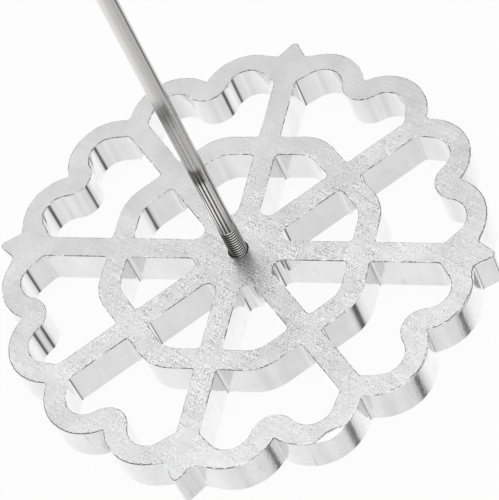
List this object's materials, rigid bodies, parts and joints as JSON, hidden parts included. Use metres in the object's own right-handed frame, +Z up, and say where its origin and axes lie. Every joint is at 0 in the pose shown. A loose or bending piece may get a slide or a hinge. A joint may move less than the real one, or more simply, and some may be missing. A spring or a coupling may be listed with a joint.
{
  "type": "rosette iron",
  "caption": "Rosette iron: open lobed aluminium flower mould with spokes and an inner ring, on a steel rod that unscrews, with a turned wooden grip and a hanging eye.",
  "frame": {"origin": "middle of the flower's flat underside, on the rod's axis", "axes": "+Z up along the rod; +X and +Y each towards a pointed cusp of the flower"},
  "size_m": [0.12, 0.12, 0.3382],
  "materials": {
    "sawn_aluminium": "sawn faces with a fine grain, extruded walls smooth and bright",
    "polished_steel": "polished drawn rod, rolled thread",
    "plated_steel": "satin nickel plate",
    "oiled_beech": "turned beech, oiled"
  },
  "bodies": {
    "mould": {"mould_head": "sawn_aluminium"},
    "ferrule": {"ferrule": "plated_steel"},
    "handle": {"handle_rod": "polished_steel", "grip": "oiled_beech", "end_washer": "plated_steel"}
  },
  "joints": [
    {"name": "rod_advance", "type": "slide", "parent": "mould", "child": "ferrule", "axis": [0, 0, 1], "range_m": [0, 0.0078]},
    {"name": "rod_turn", "type": "hinge", "parent": "ferrule", "child": "handle", "pos_m": [0, 0, 0.009], "axis": [0, 0, 1], "range_deg": [0, 3512]}
  ],
  "couplings": [
    {"joint": "rod_turn", "follows": "rod_advance", "rad_per_m": 7854}
  ]
}
